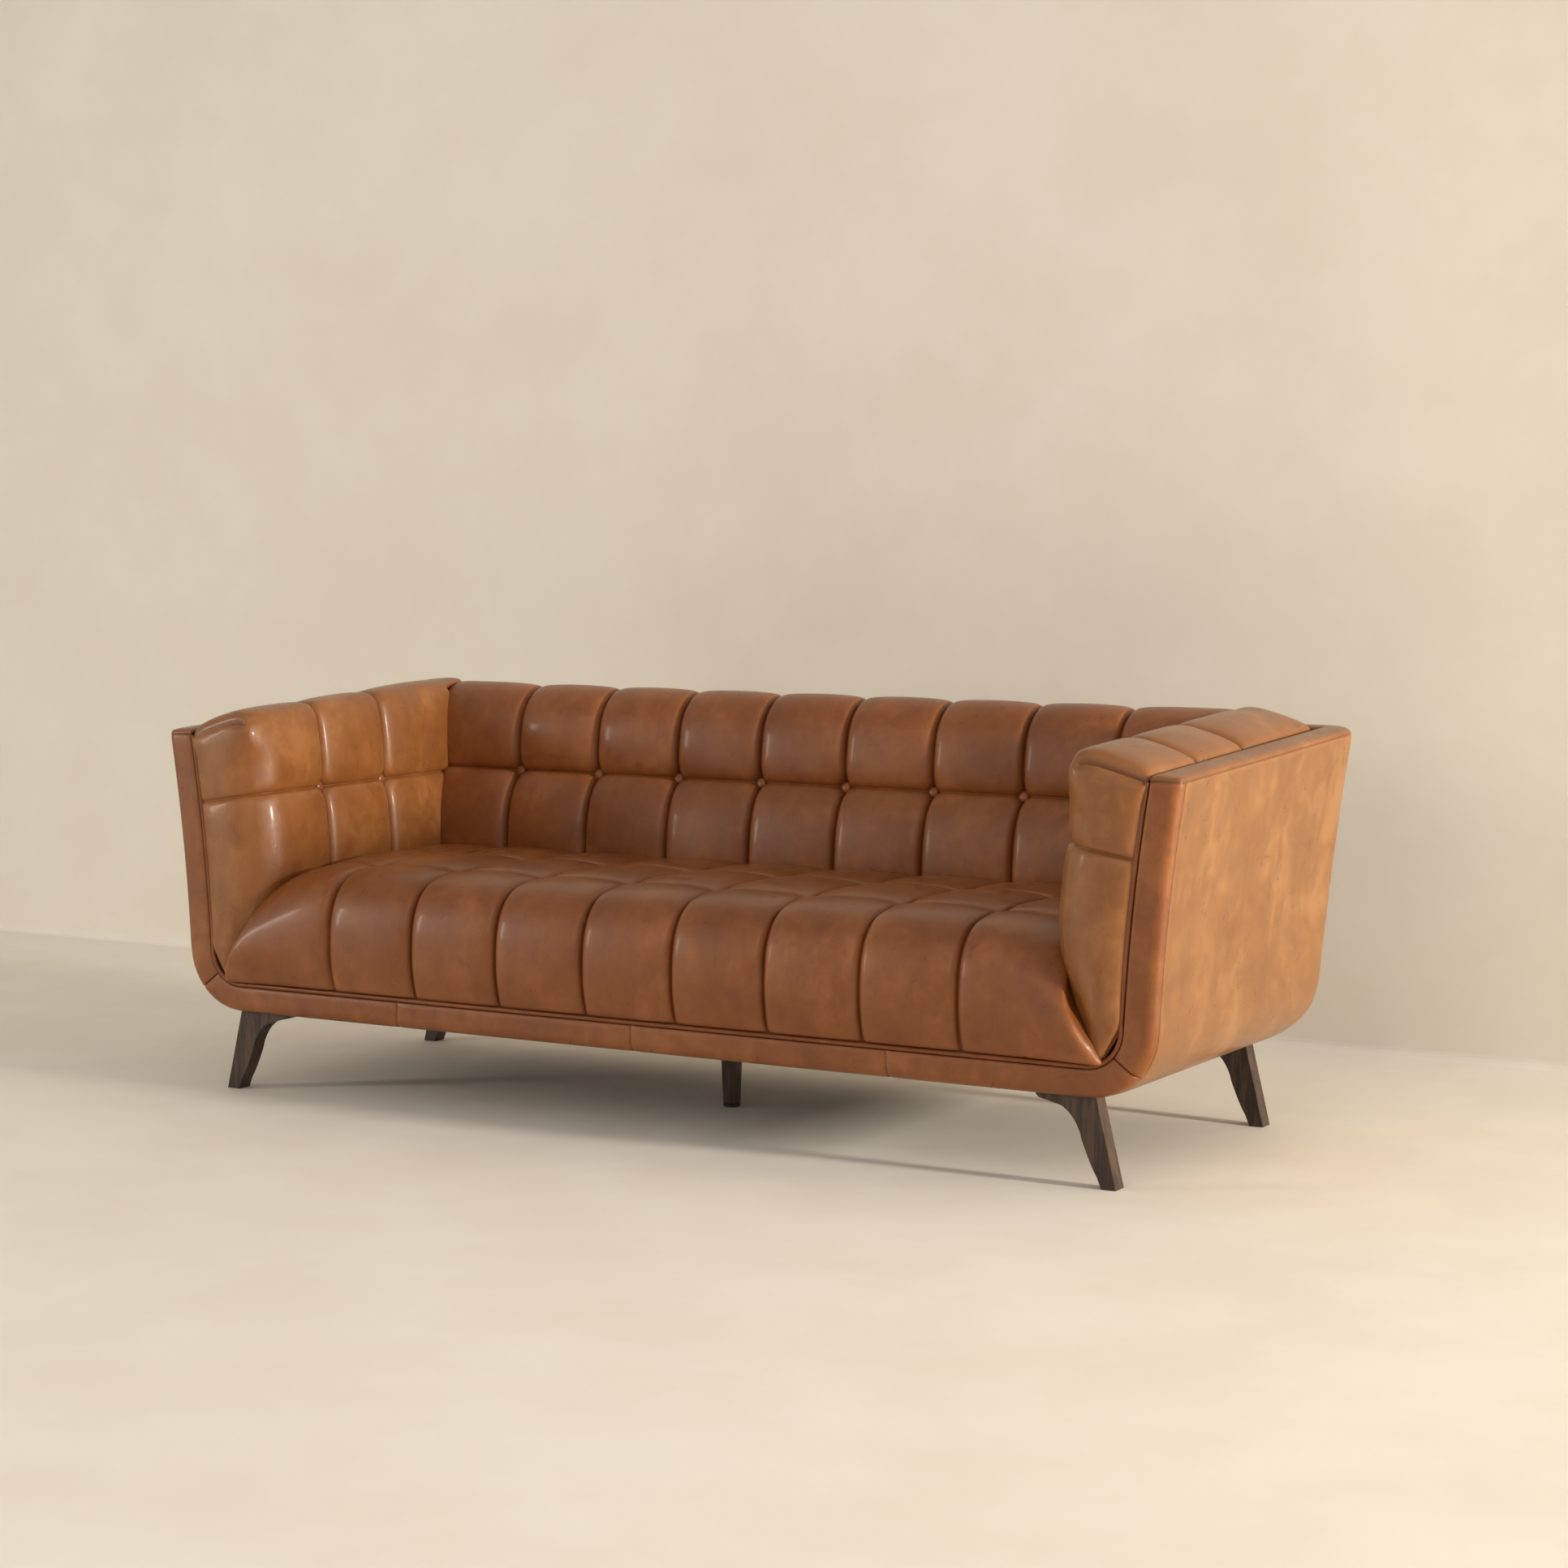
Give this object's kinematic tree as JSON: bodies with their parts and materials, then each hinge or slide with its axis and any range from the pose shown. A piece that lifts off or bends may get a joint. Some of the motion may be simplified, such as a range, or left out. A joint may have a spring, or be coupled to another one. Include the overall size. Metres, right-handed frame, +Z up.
{
  "type": "three-seat sofa",
  "caption": "Tub-shaped three-seat sofa with biscuit-tufted leather seat, back and arms on splayed wooden legs.",
  "frame": {"origin": "on the floor, under the middle of the bounding box", "axes": "+X across the sofa to the right of someone facing its front, +Y from the front to the back, +Z up"},
  "size_m": [2.2214, 0.852, 0.788],
  "materials": {
    "leather": "satin",
    "welt_leather": "satin",
    "foam": "matte",
    "timber": "matte",
    "plywood": "matte",
    "walnut": "satin",
    "steel": "satin",
    "dust_cloth": "matte",
    "burlap": "matte",
    "webbing": "matte",
    "glide_plastic": "matte"
  },
  "bodies": {
    "sofa": {"side_cover_left": "leather", "side_cover_right": "leather", "rear_cover": "leather", "front_facing_left": "leather", "front_facing_right": "leather", "front_facing_lower": "leather", "rim_facing_left": "leather", "rim_facing_right": "leather", "rim_facing_rear": "leather", "front_welt": "welt_leather", "dust_cover": "dust_cloth", "seat_cover": "leather", "seat_foam": "foam", "back_cover": "leather", "back_foam": "foam", "arm_cover_left": "leather", "arm_cover_right": "leather", "arm_foam_left": "foam", "arm_foam_right": "foam", "back_buttons": "leather", "arm_buttons_left": "leather", "arm_buttons_right": "leather", "front_rail": "timber", "rear_rail": "timber", "end_rail_left": "timber", "end_rail_right": "timber", "centre_joist": "timber", "side_joists": "timber", "corner_blocks": "timber", "front_rib_left": "plywood", "front_rib_right": "plywood", "arm_ribs_left": "plywood", "arm_ribs_right": "plywood", "arm_rail_left": "timber", "arm_rail_right": "timber", "arm_liner_left": "plywood", "arm_liner_right": "plywood", "back_posts": "timber", "back_top_rail": "timber", "back_cross_rails": "timber", "back_webbing": "webbing", "seat_springs": "steel", "spring_clips": "steel", "spring_tie_rods": "steel", "deck_cloth": "burlap", "leg_front_left": "walnut", "leg_front_right": "walnut", "leg_rear_left": "walnut", "leg_rear_right": "walnut", "leg_bolts": "steel", "centre_leg": "walnut", "centre_leg_stud": "steel"},
    "glide": {"centre_leg_glide": "glide_plastic"}
  },
  "joints": [
    {"name": "glide_screw", "type": "slide", "parent": "sofa", "child": "glide", "axis": [0, 0, 1], "range_m": [-0.008, 0]}
  ]
}
